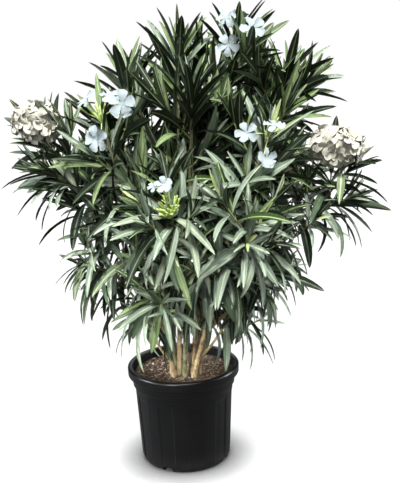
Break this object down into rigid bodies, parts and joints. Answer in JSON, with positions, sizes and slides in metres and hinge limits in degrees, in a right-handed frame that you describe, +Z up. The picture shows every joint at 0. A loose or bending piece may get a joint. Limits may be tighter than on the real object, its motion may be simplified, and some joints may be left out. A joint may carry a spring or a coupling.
{
  "type": "potted oleander",
  "caption": "Bushy evergreen shrub with many upright stems, narrow pointed leaves in whorls and white flowers, growing in a ribbed black plastic nursery pot.",
  "frame": {"origin": "centre of the pot's flat underside", "axes": "+Z up along the plant, -Y towards its best side, +X to the right when that side is seen"},
  "size_m": [0.9575, 0.8551, 1.1352],
  "materials": {
    "black_plastic": "satin black moulded plastic",
    "soil": "loose bark and peat potting mix",
    "bark": "smooth tan bark with fine cracks and leaf scars",
    "foliage": "leathery dark green leaves with a pale midrib, and white flowers"
  },
  "bodies": {
    "root": {"pot": "black_plastic", "soil": "soil", "stem_back_left": "bark", "stem_back_right": "bark", "stem_front_left": "bark", "stem_front_right": "bark", "stem_left": "bark", "stem_right": "bark", "stem_top_back": "bark", "stem_top_front": "bark", "stem_top_left": "bark", "stem_top_right": "bark", "bough_flank_back": "bark", "bough_flank_back_left": "bark", "bough_flank_back_right": "bark", "bough_flank_front_left": "bark", "bough_flank_front_right": "bark", "bough_flank_left": "bark", "bough_flank_right": "bark", "bough_skirt_back": "bark", "bough_skirt_left": "bark", "bough_skirt_right": "bark", "bough_waist_back_left": "bark", "bough_waist_back_right": "bark", "bough_waist_front": "bark", "bough_waist_front_left": "bark", "bough_waist_front_right": "bark", "bough_waist_left": "bark", "bough_waist_right": "bark", "foliage_back_left": "foliage", "foliage_back_right": "foliage", "foliage_flank_back": "foliage", "foliage_flank_back_left": "foliage", "foliage_flank_back_right": "foliage", "foliage_flank_front_left": "foliage", "foliage_flank_front_right": "foliage", "foliage_flank_left": "foliage", "foliage_flank_right": "foliage", "foliage_front_left": "foliage", "foliage_front_right": "foliage", "foliage_left": "foliage", "foliage_right": "foliage", "foliage_skirt_back": "foliage", "foliage_skirt_left": "foliage", "foliage_skirt_right": "foliage", "foliage_top_back": "foliage", "foliage_top_front": "foliage", "foliage_top_left": "foliage", "foliage_top_right": "foliage", "foliage_waist_back_left": "foliage", "foliage_waist_back_right": "foliage", "foliage_waist_front": "foliage", "foliage_waist_front_left": "foliage", "foliage_waist_front_right": "foliage", "foliage_waist_left": "foliage", "foliage_waist_right": "foliage"}
  },
  "joints": []
}
